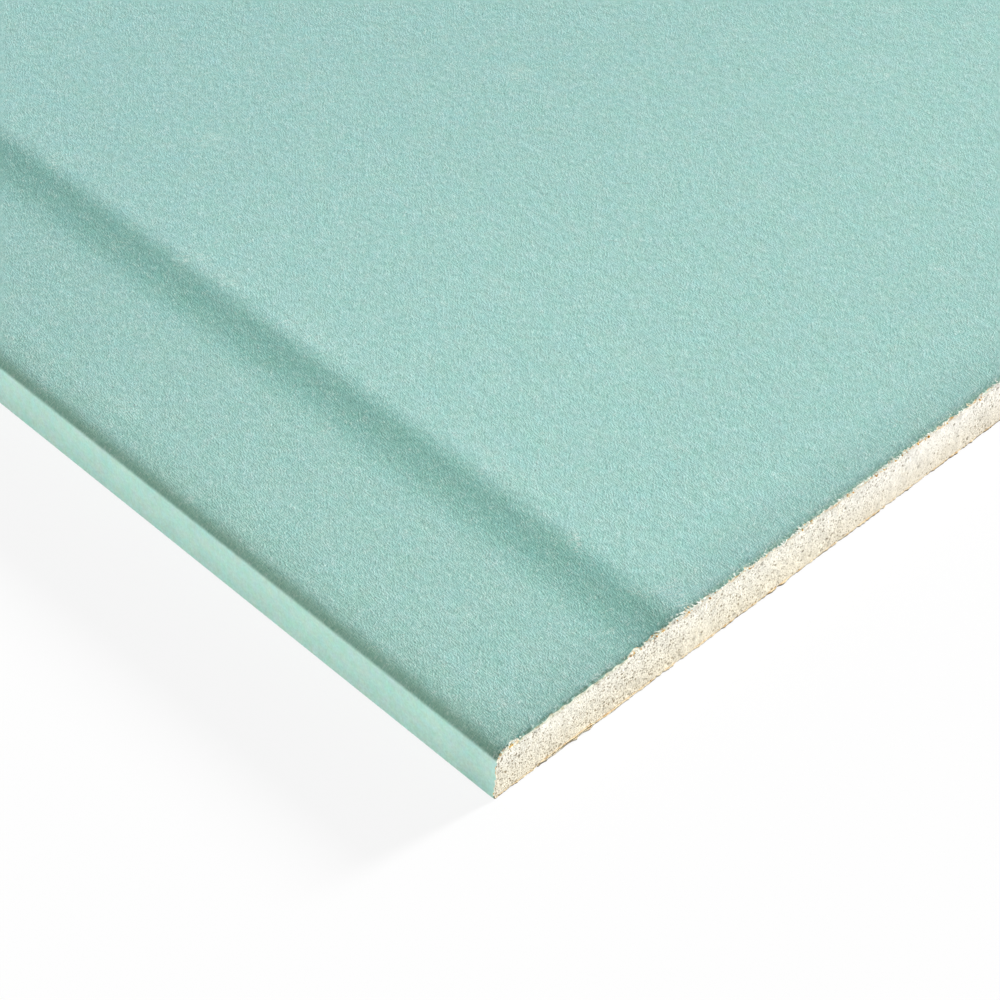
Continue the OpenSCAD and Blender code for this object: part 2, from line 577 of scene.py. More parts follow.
# %% Rubbed marks of the face paper
patchy = cloud(paper, lay, 9, 2).between(0.02, 0.2)
scuff = patchy * strokes(paper, lay, 62, 0.35, 1.6).between(0.0, 0.2)
knocked = from_edge.between(*CORNER_ACROSS) * from_end.between(*CORNER_ALONG) * off_edge
marks = cloud(paper, lay, 14, 1).between(0.12, 0.22) * off_edge
rubbed = from_edge.band(*CREST) * 0.5 + from_edge.band(*BROW) * 0.3 + knocked * 0.4 + marks * 0.4
colour = paper.blend(rubbed * scuff, colour, RUBBED)

# %% Frayed border, painted shadow along the cut, and specks of the face paper
SPLAY_LAYERS = [(16, 0.40, 0.9, 1, 0.6), (-24, 0.50, 0.7, 1, 0.7)]
# A painted shadow with dark burr along the top of the cut, strongest in the recess
burr_and_shadow = from_cut.between(*BURR_SHADOW_NEAR) * cloud(paper, lay, 1.0, 2).between(-0.15, 0.10) * off_edge
colour = paper.blend(burr_and_shadow * (0.62 - from_edge.between(*BURR_SHADOW_FADES) * 0.30), colour, CUT_BURR_AND_SHADOW)
splay = brushed(paper, lay, SPLAY_LAYERS)
broken_open = from_edge.between(*SPLITS) * off_edge
# Painted shadow in the gaps between the pale teeth
gaps = from_cut.between(*GAP_SHADOW_NEAR) * splay.between(-0.01, -0.12) * broken_open
colour = paper.blend(gaps * 0.35, colour, CUT_BURR_AND_SHADOW)
fray = (splay * 3.6 - 0.10 - from_cut).between(0.0, 0.10) * broken_open
colour = paper.blend(fray * 0.95, colour, FRAYED)
bared = fray * cloud(paper, lay, 1.8, 1).between(0.08, 0.2)
colour = paper.blend(bared * 0.8, colour, BARE_PLY)
speck = spots(paper, lay, 9, 0.16, 0.05) * off_edge
colour = paper.blend(speck * 0.85, colour, SPECK)
paper.feed("Base Color", colour)

# %% Fibre relief of the face paper
FIBRE_HEIGHT = 0.175
LOOSE_HEIGHT = 0.012
BUNDLE_HEIGHT = 0.026
FELT_HEIGHT = 0.06
relief = height * FIBRE_HEIGHT + loose * LOOSE_HEIGHT + bundles * BUNDLE_HEIGHT + felt * FELT_HEIGHT
paper.raise_by(relief * rough)
print("face paper:", len(paper.nodes), "nodes")

# %% [markdown]
# ## Torn plies
# Where the paper is cut through, its plies show: frayed, pale, dusted with gypsum, and brown where the
# waste-paper fibre is clean. The face paper's plies are greyer and darker in the recess, and the back
# paper's are dark at the cut and bare behind it. All of them, and the loose fibres and crumbs, differ
# only in two tones, in their dust and in how much shade is painted into their gaps, so one function makes
# every finish from a table.

# %% Finishes of torn plies
GYPSUM_DUST = tint(236, 226, 204)
TONE_SIZE, DUST_SIZE, GAP_SIZE, GRAIN_SIZE = 0.8, 2.5, 0.32, 0.25
GRAIN_HEIGHT = 0.05


def torn_plies(name, light, dark, dust, gaps):
    """Broken paper in two tones, with gypsum dust over a share of it, and painted shade in its gaps."""
    plies = Finish(name, roughness=0.92)
    spot = spot_of(plies)
    tone = cloud(plies, spot, TONE_SIZE, 2, flat=False).between(-0.03, 0.14)
    colour = plies.blend(tone, light, dark)
    dusted = cloud(plies, spot, DUST_SIZE, 3, flat=False).between(0.25 - dust, 0.40 - dust)
    colour = plies.blend(dusted, colour, GYPSUM_DUST)
    # Painted shade in the gaps between plies
    gap = cloud(plies, spot, GAP_SIZE, 1, flat=False).between(0.08, 0.2) * gaps
    plies.feed("Base Color", plies.shade(colour, 1 - gap))
    plies.raise_by(cloud(plies, spot, GRAIN_SIZE, 2, flat=False) * GRAIN_HEIGHT)
    print(name, len(plies.nodes), "nodes")
    return plies.material


# %% Every finish of this kind: its light and dark tones, its dust and its painted shade in gaps
PLY_LOOKS = {
    "torn_face_plies": (tint(255, 252, 232), tint(240, 192, 104), 0.08, 0.5),
    "grey_face_plies": (tint(224, 226, 208), tint(190, 186, 156), 0.04, 0.45),
    "torn_back_plies": (tint(94, 82, 46), tint(60, 52, 24), 0.06, 0.4),
    "bare_back_plies": (tint(232, 214, 178), tint(204, 166, 112), 0.04, 0.3),
    "torn_ply_crumbs": (tint(230, 182, 88), tint(164, 114, 44), 0.0, 0.3),
    "pale_paper_fibre": (tint(252, 255, 246), tint(236, 248, 234), 0.0, 0.2),
    "pale_green_lint": (tint(222, 236, 230), tint(198, 222, 212), 0.0, 0.0),
}
plies = {name: torn_plies(name, *look) for name, look in PLY_LOOKS.items()}

# %% [markdown]
# ## Gypsum
# The core is foamed while it sets, so a cut opens bubbles of many sizes. The large ones are pressed into
# the mesh later. The small ones are spots in the finish, dark where light doesn't reach, and they sink
# in by bump. Broad patches are smeared smooth by the knife and show fewer pores. Close under the face
# paper the pores are pressed shut, and threads of torn ply stick to the gypsum.

# %% Zones of the cut gypsum: where each starts and is full, in millimetres in from the edge or up
SMEARED_IN = (50, 125)
FINE_IN = (80, 45)
FEWER_IN = (50, 75)
FAR_IN = (70, 115)
UNDER_FACE_IN = (44, 52)
UNDER_FACE_UP = (10.4, 11.3)
PAINTED_LIGHT_UP = (0, 12)
FOOT_SHADE_UP = (1.5, 0.3)
DULL_UP = (9, 3)
gypsum = Finish("cut_gypsum", roughness=0.95)
spot = spot_of(gypsum)
x, y, z = parts_of(gypsum, spot)
cut = gypsum.node("ShaderNodeCombineXYZ", {}, {"X": x, "Y": z})
from_edge = HALF_WIDTH - abs(x)
under_face = z.between(*UNDER_FACE_UP) * from_edge.between(*UNDER_FACE_IN)
closed = 1 - under_face * 0.6

# %% Pores of the cut gypsum: size of a cell, radius and softness
CLOSE_PORES = (0.58, 0.27, 0.09)
LOOSE_PORES = (0.86, 0.36, 0.10)
FINE_PORES = (0.34, 0.16, 0.05)
LARGE_PORES = (2.6, 0.34, 0.12)
smear = (cloud(gypsum, cut, 20, 2) + from_edge.between(*SMEARED_IN) * 0.08).between(0.0, 0.25)
patch = cloud(gypsum, cut, 1.5, 2).between(-0.14, 0.10)
dots = spots(gypsum, cut, *CLOSE_PORES) * patch
dots = dots + spots(gypsum, cut, *LOOSE_PORES) * (1 - patch)
fine_dots = spots(gypsum, cut, *FINE_PORES) * (0.6 + from_edge.between(*FINE_IN) * 0.4)
large_pores = spots(gypsum, cut, *LARGE_PORES)
pores = dots * (1 - smear * 0.65) * (1 - from_edge.between(*FEWER_IN) * 0.12) * closed
fine_pores = fine_dots * (1 - smear * 0.5) * closed

# %% Colour of the cut gypsum
# Painted light: the cut is darker and yellower low down, lighter and whiter at the top
GYPSUM_SHADED_LOW = tint(237, 230, 210)
GYPSUM_LIT_TOP = tint(253, 251, 239)
# Colour of real stains, also used for the painted shade at the foot of the cut
GYPSUM_STAIN_AND_SHADE = tint(232, 223, 198)
PORE = tint(112, 88, 36)
CRUMB_SIZE = 0.42
THREAD = (90, 0.7, 3.5, 2)
crumbs = cloud(gypsum, spot, CRUMB_SIZE, 2, flat=False)
# Painted light: lighter and whiter toward the top of the cut
colour = gypsum.blend(z.between(*PAINTED_LIGHT_UP), GYPSUM_SHADED_LOW, GYPSUM_LIT_TOP)
stain = (cloud(gypsum, cut, 5.0, 3) + cloud(gypsum, cut, 1.2, 2) * 0.6).between(0.0, 0.3)
# Painted shade along the foot of the cut, in the stain colour and a little darker
foot_shade = z.between(*FOOT_SHADE_UP)
colour = gypsum.blend(stain * 0.34 * closed + foot_shade * 0.3, colour, GYPSUM_STAIN_AND_SHADE)
thread = under_face * strokes(gypsum, cut, *THREAD).between(0.03, 0.16)
colour = gypsum.blend(thread * 0.9, colour, BARE_PLY)
away = from_edge.between(*FAR_IN)
dull = away * z.between(*DULL_UP)
colour = gypsum.hue(colour, 1.0, 1 + away * 0.035)
colour = gypsum.shade(colour, 1 + crumbs * 0.20 - foot_shade * 0.05 - dull * 0.035)
colour = gypsum.blend(pores * 0.78, colour, PORE)
colour = gypsum.blend(fine_pores * 0.55, colour, PORE)
colour = gypsum.blend(large_pores * 0.6, colour, PORE)
gypsum.feed("Base Color", colour)

# %% Relief of the cut gypsum
CRUMB_HEIGHT, SMEARED_AWAY = 0.10, 0.05
PORE_DEPTH, LARGE_PORE_DEPTH = 0.04, 0.08
relief = crumbs * (CRUMB_HEIGHT - smear * SMEARED_AWAY)
gypsum.raise_by(relief - (pores + fine_pores) * PORE_DEPTH - large_pores * LARGE_PORE_DEPTH)
print("gypsum:", len(gypsum.nodes), "nodes")

# %% [markdown]
# ## Back paper
# The liner on the back is undyed waste paper: brown-grey, flecked dark, with fibres that lie mostly along
# the sheet. Its finish could be as rich as the face's, but it shows as a thin line at the cut until the
# sheet is turned over, so a few layers of noise are enough.

# %% Finish of the back paper
LINER_BROWN = tint(176, 154, 122)
LINER_GREY = tint(160, 146, 126)
LINER_FLECK = tint(112, 94, 70)
FLECKS = (10, 0.4, 2.2, 2)
LINER_RELIEF = [(8, 0.4, 1.6, 2, 0.05), (-30, 0.4, 1.2, 1, 0.03)]
liner = Finish("brown_back_paper", roughness=0.9)
lay = flat_lay(liner, *parts_of(liner, spot_of(liner)))
colour = liner.blend(cloud(liner, lay, 22, 4).between(-0.5, 0.5), LINER_BROWN, LINER_GREY)
flecked = strokes(liner, lay, *FLECKS).between(0.08, 0.3)
colour = liner.blend(flecked * 0.5, colour, LINER_FLECK)
colour = liner.shade(colour, 1 + cloud(liner, lay, 1.1, 2) * 0.2 + cloud(liner, lay, 120, 2) * 0.08)
liner.feed("Base Color", colour)
liner.raise_by(brushed(liner, lay, LINER_RELIEF))
print("back paper:", len(liner.nodes), "nodes")

# %% [markdown]
# ## How a cut wanders
# A sheet is cut by scoring the face and snapping the core, so nothing at the end is straight. The edge
# of the paper wanders and is torn open in places, and the gypsum breaks in lumps. Smooth random curves
# of several wavelengths, added up, give this better than one jagged noise.

# %% Random curves and surfaces
CLOSE_LIMIT = 165.0
CLOSE_STEP = 0.25
WIDE_STEP = 1.5


def smooth(share):
    return share * share * (3 - 2 * share)


def ripple(at, wave):
    """Smooth random values along a line, about one bump to a wave."""
    place = (at - at.min()) / wave
    knot = place.astype(int)
    share = smooth(place - knot)
    values = rng.normal(size=knot.max() + 2)
    return values[knot] * (1 - share) + values[knot + 1] * share


def rippled(at, wave, height):
    """A ripple of a given height."""
    return height * ripple(at, wave)


def lumps(wave):
    """A smooth random surface over the end of the sheet, as a function of x and z."""
    values = rng.normal(size=(int(2 * HALF_WIDTH / wave) + 3, int(THICKNESS / wave) + 3))

    def height(x, z):
        across, up = (x + HALF_WIDTH) / wave, z / wave
        i, k = across.astype(int), up.astype(int)
        s, t = smooth(across - i), smooth(up - k)
        low = values[i, k] * (1 - s) + values[i + 1, k] * s
        high = values[i, k + 1] * (1 - s) + values[i + 1, k + 1] * s
        return low * (1 - t) + high * t

    return height


# %% Places where the paper is torn open
NEAR_TEARS = np.array([
    3.0, 5.4, 36.0, 40.5, 43.0, 47.0, 55.0, 65.5, 82.0, 97.0, 102.5, 111.0, 123.0, 137.0,
])
TEAR_GAPS = (5, 22)
TEAR_WIDTHS = (0.6, 2.4)
MOST_TEARS = 200
LAST_TEAR = 3


def tear_places(first):
    """Distances from the left edge where the paper is torn: the first listed, then random ones."""
    gaps = rng.uniform(*TEAR_GAPS, size=MOST_TEARS)
    start = first[-1] if len(first) else 0
    more = start + np.cumsum(gaps)
    return np.concatenate([first, more[more < 2 * HALF_WIDTH - LAST_TEAR]])


def tear_share(x, places, widths):
    """How far the paper is torn open at x, from 0 to 1."""
    away = (x[:, None] + HALF_WIDTH - places[None, :]) / widths[None, :]
    return np.exp(-away ** 2).max(axis=1)


tears = {-1: tear_places(NEAR_TEARS), 1: tear_places(NEAR_TEARS[:0])}
tear_widths = {side: rng.uniform(*TEAR_WIDTHS, size=len(places)) for side, places in tears.items()}
print("tears at the two ends:", [len(places) for places in tears.values()])

# %% [markdown]
# ## Papers with cut ends
# A paper is a long plain run between two ragged ends. Near each end the columns of points are close, and
# the first rows follow the ragged cut and turn down a little, as the knife presses them. The inside
# stands out past the outside, most where the paper is torn, so the narrow face between them shows the
# plies. How far the cut lies in, what shows of the plies and how they look are worked out apart.

# %% Where the face paper is cut and what shows of its plies
FACE_START = 43.0
SHOULDER_END = 5.0
EDGE_END = 4.0
FACE_LINE, EDGE_LINE, RECESS_LINE = 0.46, 0.40, 0.34
SET_BACK_AT = [0, 1.5, 3, 6, 14, 34, 37, 44, 49, 62, 100]
SET_BACK_BY = [0.05, 0.2, 0.36, 0.62, 0.62, 0.50, 0.32, 0.26, -0.12, -0.38, -0.28]


def face_at(x):
    return np.abs(x) < HALF_WIDTH - FACE_START


def recess_at(x):
    return (np.abs(x) > HALF_WIDTH - FOOT_IN) & (np.abs(x) < HALF_WIDTH - SHOULDER_END)


def thin_line(x):
    """How much of the plies shows along the top of the cut without a tear: least in the recess."""
    away = HALF_WIDTH - np.abs(x)
    return np.where(away > FACE_START, FACE_LINE, np.where(away < EDGE_END, EDGE_LINE, RECESS_LINE))


def set_back(x):
    """How far the face paper is broken back: most in the recess. On the face it stands out instead."""
    return np.interp(HALF_WIDTH - np.abs(x), SET_BACK_AT, SET_BACK_BY)


# %% Columns of points along a cut
CLOSEST = 0.06


def columns_of(line, close):
    """Places along a line where the cut is drawn: close together near the left edge, else wide."""
    run = run_of(line)
    fine = np.arange(0, run[-1], CLOSE_STEP)
    near = np.interp(fine, run, line[:, 0]) < CLOSE_LIMIT - HALF_WIDTH
    wide = np.arange(0, run[-1], WIDE_STEP)
    places = np.unique(np.concatenate([wide, run] + ([fine[near]] if close else [])))
    kept = places[np.concatenate([[True], np.diff(places) > CLOSEST])]
    kept[-1] = run[-1]
    return kept


# %% How far in the cut lies: waves are given as length and height
JAGS = [(2.2, 0.06), (0.8, 0.06), (0.45, 0.05)]
SLOW_WAVE = (9.0, 0.05)
RECESS_CALM, BACK_CALM = 0.7, 0.65
BACK_OVERHANG = 0.08
TEAR_DEPTH = 0.34
CUT_RANGE = (-0.6, 1.3)


def cut_line(places, x, on_top, torn, torn_by, wild, tongues):
    """How far in from the end plane the outside of a paper is cut, at each of its columns."""
    jags = sum(rippled(places, *wave) for wave in JAGS)
    calm = np.where(recess_at(x), RECESS_CALM, 1.0)
    wander = rippled(places, *SLOW_WAVE) + wild * jags * calm
    broken_back = np.where(on_top, set_back(x), -BACK_OVERHANG) * torn_by
    cut = broken_back + wander * np.where(on_top, 1.0, BACK_CALM) + TEAR_DEPTH * torn
    cut = np.clip(cut, *CUT_RANGE)
    for place, width, length in tongues:
        cut = cut - length * np.exp(-((x + HALF_WIDTH - place) / width) ** 2)
    return cut


# %% What shows of the plies, as a share of the thickness, and in which finish
OUTSIDE, TORN, DUSTED, DARK, GREY_PLIES, BARE = range(6)
CUT_FINISHES = [
    plies["torn_face_plies"],
    gypsum.material,
    plies["torn_back_plies"],
    plies["grey_face_plies"],
    plies["bare_back_plies"],
]
LINE_WAVE, DASH_WAVE, OPEN_WAVE = (2.6, 0.14), (3.2, 0.3), (1.3, 0.16)
DASHES_WIDEN = 70.0
WIDE_DASHES, NARROW_DASHES = 0.80, 0.62
OPEN_RECESS, OPEN_ELSEWHERE = 0.75, 0.3
BARED, BARED_WAVE, BARED_FACE = 0.3, 1.1, 0.5


def plies_shown(places, x, on_top):
    """Share of the thickness that shows as plies without a tear: a line on top, dashes below."""
    dashes = np.where(np.abs(x) < HALF_WIDTH - DASHES_WIDEN, WIDE_DASHES, NARROW_DASHES)
    dashes = dashes + rippled(places, *DASH_WAVE)
    return np.where(on_top, thin_line(x) + rippled(places, *LINE_WAVE), dashes)


def cut_finishes(places, x, on_top, torn, showing):
    """Finishes of the outer and the inner half of the cut, one for each column."""
    open_here = torn + showing + rippled(places, *OPEN_WAVE)
    torn_open = open_here > np.where(recess_at(x), OPEN_RECESS, OPEN_ELSEWHERE)
    outer = np.where(on_top, np.where(torn_open, TORN, OUTSIDE), DARK)
    bared = (torn + BARED_FACE * face_at(x)) * ripple(places, BARED_WAVE) > BARED
    inner = np.where(on_top & bared, TORN, DUSTED)
    # Greyer and darker plies under the paper in the recess
    inner = np.where(recess_at(x) & on_top, GREY_PLIES, inner)
    return outer, inner


# %% One ragged end of a paper
ROW_SHARES = np.array([0, 0.07, 0.17, 0.33, 0.6, 1.0])
END_DEPTH = 3.0
PLAIN_DEPTH = 9.0
BACK_HEIGHT = 1.0
TURN_SHARPNESS = 5
INSIDE_LEAD = 0.04
INSIDE_IN, INSIDE_WAVE = 0.06, (0.8, 0.05)
PLY_WAVE, PLY_RANGE = (1.1, 0.12), (0.06, 0.94)
TORN_SHOWS, PLY_JITTER = 0.4, 0.05


def ragged_end(stock, line, thickness, side, turn_down, torn_by, wild, tongues):
    """Adds one end of a paper. Returns its columns, its outside rows and its rim."""
    places = columns_of(line, close=side < 0)
    at = along(line, line, places)
    normal = along(line, normals_of(line), places)
    normal /= np.linalg.norm(normal, axis=1)[:, None]
    x = at[:, 0]
    on_top = at[:, 1] > BACK_HEIGHT
    torn = np.where(on_top, tear_share(x, tears[side], tear_widths[side]), 0.0) * torn_by
    cut = cut_line(places, x, on_top, torn, torn_by, wild, tongues)
    inside_in = np.minimum(cut - INSIDE_LEAD, INSIDE_IN + rippled(places, *INSIDE_WAVE))

    def row_of(sink, inward):
        """A row of points, sunk into the paper and set in from the end plane."""
        flat = at + normal * sink
        return np.column_stack([flat[:, 0], side * (HALF_LENGTH - inward), flat[:, 1]])

    rows = []
    for share in ROW_SHARES:
        inward = cut * (1 - share) ** 2 + END_DEPTH * share
        rows.append(row_of(turn_down * math.exp(-TURN_SHARPNESS * share), inward))
    outside = stock.add(np.stack(rows))
    stock.fill(outside)
    showing = plies_shown(places, x, on_top)
    line_share = np.clip(showing + rippled(places, *PLY_WAVE) + TORN_SHOWS * torn, *PLY_RANGE)
    middle_in = cut + (inside_in - cut) * line_share - PLY_JITTER * rng.random(len(places))
    middle_sink = turn_down + line_share * (thickness - turn_down)
    middle = stock.add(row_of(middle_sink[:, None], middle_in))
    rim = np.stack([outside[0], middle, stock.add(row_of(thickness, inside_in))])
    outer, inner = cut_finishes(places, x, on_top, torn, showing)
    stock.fill(rim[:2], finish=outer[None, 1:])
    stock.fill(rim[1:], finish=inner[None, 1:])
    return places, outside, rim


# %% A whole paper
PLAIN_ROWS = 9


def paper_stock(line, thickness, turn_down, torn_by, wild, tongues=()):
    """Outside, inside, ragged ends and narrow sides of a paper, as one closed skin."""
    stock = Stock()
    run = run_of(line)
    under = line + thickness * normals_of(line)
    lengths = np.linspace(-1, 1, PLAIN_ROWS) * (HALF_LENGTH - PLAIN_DEPTH)

    def plain(section):
        """The section repeated along the sheet."""
        across, up = section.T
        return stock.add(np.stack([np.column_stack([across, np.full(len(up), y), up]) for y in lengths]))

    top, bottom = plain(line), plain(under)
    stock.fill(top)
    stock.fill(bottom)
    manner = (turn_down, torn_by, wild, tongues)
    ends = {side: ragged_end(stock, line, thickness, side, *manner) for side in (-1, 1)}
    for side, (places, outside, rim) in ends.items():
        last = 0 if side < 0 else -1
        stock.zip_rows(outside[-1], places, top[last], run)
        stock.zip_rows(rim[-1], places, bottom[last], run, finish=BARE)
    (near_rows, near_rim), (far_rows, far_rim) = ends[-1][1:], ends[1][1:]
    for edge in (0, -1):
        over = np.concatenate([near_rows[:, edge], top[:, edge], far_rows[::-1, edge]])
        below = np.concatenate([near_rim[1:, edge], bottom[:, edge], far_rim[:0:-1, edge]])
        stock.zip_rows(over, np.linspace(0, 1, len(over)), below, np.linspace(0, 1, len(below)))
    return stock


make_piece(
    "face_paper_skin",
    paper_stock(face_line, PAPER, turn_down=0.10, torn_by=1.0, wild=1.7),
    [paper.material] + CUT_FINISHES,
    node="face_paper",
)

# %% The back paper, drawn from its outside, with tongues given as place, width and length
LINER_COLUMN = 24.0
LINER_TONGUES = [(20.6, 0.5, 0.4), (24.0, 0.6, 0.25), (46.0, 0.5, 0.2), (77.0, 0.8, 0.3)]
liner_steps = np.concatenate([np.arange(LINER_HALF, -LINER_HALF, -LINER_COLUMN), [-LINER_HALF]])
liner_line = np.column_stack([liner_steps, np.zeros_like(liner_steps)])
make_piece(
    "back_paper_skin",
    paper_stock(liner_line, LINER, turn_down=0.0, torn_by=0.0, wild=1.4, tongues=LINER_TONGUES),
    [liner.material] + CUT_FINISHES,
    node="back_paper",
)

# %% [markdown]
# ## The gypsum core
# Only the two cut ends of the core show. Each end is a grid that fills the section between the papers and
# is pushed in by lumps of several sizes. By the near left corner the grid is fine enough to carry the
# larger bubbles as real pits. The rest of the core lies behind paper and needs few faces.

# %% Upper and lower outline of the core's section
FLAP_CLEARANCE = 0.01
EDGE_CLEARANCE = 0.02
first = int(np.argmin(inside_line[:, 0]))
last = int(np.argmax(inside_line[:, 0]))
roof = inside_line[first:last + 1]
flap_end = HALF_WIDTH - FLAP_WIDTH - FLAP_CLEARANCE
middle_part = np.array([[-flap_end, LINER], [flap_end, LINER]])
base = np.vstack([inside_line[first::-1], middle_part, inside_line[:last - 1:-1]])
core_left, core_right = roof[0, 0] + EDGE_CLEARANCE, roof[-1, 0] - EDGE_CLEARANCE
print(f"core from {core_left:.2f} to {core_right:.2f} mm")


def core_span(x):
    """Bottom and top of the core at x."""
    return np.interp(x, base[:, 0], base[:, 1]), np.interp(x, roof[:, 0], roof[:, 1])


def core_grid(x, shares):
    """Points [x, z] of the core's section: a column at each x, a row at each share of its height."""
    low, high = core_span(x)
    z = low + (high - low) * shares[:, None]
    return np.broadcast_to(x, z.shape), z


# %% Broken surface of an end: lumps are given as size and height
LUMP_LAYERS = [(34.0, 0.10), (5.0, 0.06), (1.7, 0.03), (0.6, 0.015)]
BREAK_DEPTH = 0.12
RIM_DEPTH, RIM_WIDTH, RIM_SHARE = 0.06, 0.7, 0.25
BREAK_RANGE = (-0.3, 1.2)
PIT_COUNT = 150
PIT_EDGE, PIT_MARGIN = 1.0, 0.8
PIT_RADIUS, PIT_GROWTH = 0.22, 0.25
PIT_DEPTHS = (0.5, 0.9)
break_layers = [(lumps(wave), height) for wave, height in LUMP_LAYERS]
pit_x = rng.uniform(-HALF_WIDTH + PIT_EDGE, -HALF_WIDTH + CLOSE_LIMIT, PIT_COUNT)
pit_z = rng.uniform(PIT_MARGIN, THICKNESS - PIT_MARGIN, PIT_COUNT)
pit_radius = PIT_RADIUS + PIT_GROWTH * rng.random(PIT_COUNT) ** 3
pit_depth = pit_radius * rng.uniform(*PIT_DEPTHS, PIT_COUNT)
print(f"{PIT_COUNT} pits, the largest {2 * pit_radius.max():.2f} mm wide")


def broken(x, z, pits):
    """How far the break lies behind the end plane, in millimetres."""
    depth = sum((height * layer(x, z) for layer, height in break_layers), BREAK_DEPTH)
    if pits:
        for px, pz, radius, deep in zip(pit_x, pit_z, pit_radius, pit_depth):
            near = ((x - px) ** 2 + (z - pz) ** 2) / radius ** 2
            depth = depth + deep * np.clip(1 - near, 0, None)
    low, high = core_span(x)
    inner = np.clip(np.minimum(high - z, z - low) / RIM_WIDTH, 0, 1)
    kept = RIM_SHARE + (1 - RIM_SHARE) * smooth(inner)
    return np.clip(RIM_DEPTH + (depth - RIM_DEPTH) * kept, *BREAK_RANGE)


# %% Columns of the two ends
LEAN_WIDTH, LEAN_COLUMNS = 1.4, 16
seam = -HALF_WIDTH + CLOSE_LIMIT
lean_left, lean_right = core_left + LEAN_WIDTH, core_right - LEAN_WIDTH
lean_in = np.linspace(core_left, lean_left, LEAN_COLUMNS)[:-1]
lean_out = np.linspace(lean_right, core_right, LEAN_COLUMNS)[1:]
fine_x = np.concatenate([lean_in, np.arange(lean_left, seam, CLOSE_STEP), [seam]])
wide_x = np.concatenate([np.arange(seam, lean_right, WIDE_STEP), [lean_right], lean_out])
far_x = np.concatenate([lean_in, np.arange(lean_left, lean_right, WIDE_STEP), lean_out])
print("columns of the core:", len(fine_x), "fine,", len(wide_x), "wide,", len(far_x), "at the far end")

# %% The two ends and the runs between them
FINE_ROWS = np.linspace(0, 1, 43)
WIDE_ROWS = np.linspace(0, 1, 15)
core = Stock()


def core_end(x, rows, side, pits):
    """Adds a grid of broken gypsum on one end of the sheet."""
    across, up = core_grid(x, rows)
    y = side * (HALF_LENGTH - broken(across, up, pits))
    return core.add(np.stack([across, y, up], -1))


fine = core_end(fine_x, FINE_ROWS, -1, pits=True)
wide = core_end(wide_x[1:], WIDE_ROWS, -1, pits=False)
far = core_end(far_x, WIDE_ROWS, 1, pits=False)
core.fill(fine)
core.fill(wide)
core.fill(far)
core.zip_rows(fine[:, -1], FINE_ROWS, wide[:, 0], WIDE_ROWS)
near_x = np.concatenate([fine_x, wide_x[1:]])
for row in (0, -1):
    near_row = np.concatenate([fine[row], wide[row]])
    core.zip_rows(near_row, near_x, far[row], far_x)
core.zip_rows(fine[:, 0], FINE_ROWS, far[:, 0], WIDE_ROWS)
core.zip_rows(wide[:, -1], WIDE_ROWS, far[:, -1], WIDE_ROWS)
make_piece("gypsum_core_slab", core, [gypsum.material], node="gypsum_core")

# %% [markdown]
# ## Fibres and crumbs at the tears
# Where the plies are torn they end in a fuzz of pale fibres, in tufts, and a few brown crumbs. Each is a
# few tenths of a millimetre, so a particle system would be out of proportion. All fibres are made at
# once as arrays of thin tubes, all crumbs as arrays of small octahedra, and both are joined in one mesh
# with a little lint that lies on the face.


# %% Where the fibres go
TUFT_STEP, TUFT_RANGE = 4.0, (-0.5, 1.5)
FRINGE_MARGIN, CLOSE_MARGIN = 3.0, 1.3
FRINGE_SPREAD = 1.5
TEAR_CHANCE = 0.5
TOP_HEIGHT = 9.5
tuft_places = np.arange(-HALF_WIDTH, HALF_WIDTH + TUFT_STEP, TUFT_STEP)
tufts = {side: rng.uniform(*TUFT_RANGE, len(tuft_places)) for side in (-1, 1)}


def top_of_cut(x):
    """Height of the outside of the face paper at x."""
    upper = face_line[face_line[:, 1] > TOP_HEIGHT]
    return np.interp(x, upper[:, 0], upper[:, 1])


def fringe_places(side, spacing, close_spacing, on_face, in_recess):
    """Places along the top of the cut where a fibre stands out, more of them at tears."""
    reach = HALF_WIDTH - FRINGE_MARGIN
    x = rng.uniform(-reach, reach, int(2 * reach / spacing))
    if side < 0:
        close_count = int(CLOSE_LIMIT / close_spacing)
        x = np.concatenate([x, -HALF_WIDTH + rng.uniform(CLOSE_MARGIN, CLOSE_LIMIT, close_count)])
    torn = tear_share(x, tears[side], FRINGE_SPREAD * tear_widths[side])
    away = HALF_WIDTH - np.abs(x)
    tuft = np.clip(np.interp(x, tuft_places, tufts[side]), 0, 1)
    chance = TEAR_CHANCE * torn + np.where(away > FACE_START, on_face, in_recess) * tuft
    return x[rng.random(len(x)) < chance]


# %% Fibres as tubes
FIBRE_KNOTS = 5
FIBRE_TAPER = 0.7
RING_ANGLES = np.radians([45, 135, 225, 315])


def add_tubes(stock, start, way, bend, length, radius, finish):
    """Thin bent tubes, all at once: each from its start, along its way, bending aside."""
    share = np.linspace(0, 1, FIBRE_KNOTS)
    reach = way[:, None] * share[:, None] + bend[:, None] * (share ** 2)[:, None]
    middle = start[:, None] + reach * length[:, None, None]
    thick = radius[:, None] * (1 - FIBRE_TAPER * share)
    across = np.cross(way, [0, 0, 1])
    across /= np.linalg.norm(across, axis=1)[:, None]
    up = np.cross(across, way)
    rings = []
    for angle in RING_ANGLES:
        out = across * math.cos(angle) + up * math.sin(angle)
        rings.append(middle + out[:, None] * thick[..., None])
    ids = stock.add(np.stack(rings, 2))
    for knot in range(FIBRE_KNOTS - 1):
        here, there = ids[:, knot], ids[:, knot + 1]
        for edge in range(len(RING_ANGLES)):
            after = (edge + 1) % len(RING_ANGLES)
            quad = [here[:, edge], here[:, after], there[:, after], there[:, edge]]
            stock.take(np.stack(quad, -1).tolist(), finish)
    stock.take(ids[:, 0].tolist(), finish)
    stock.take(ids[:, -1].tolist(), finish)


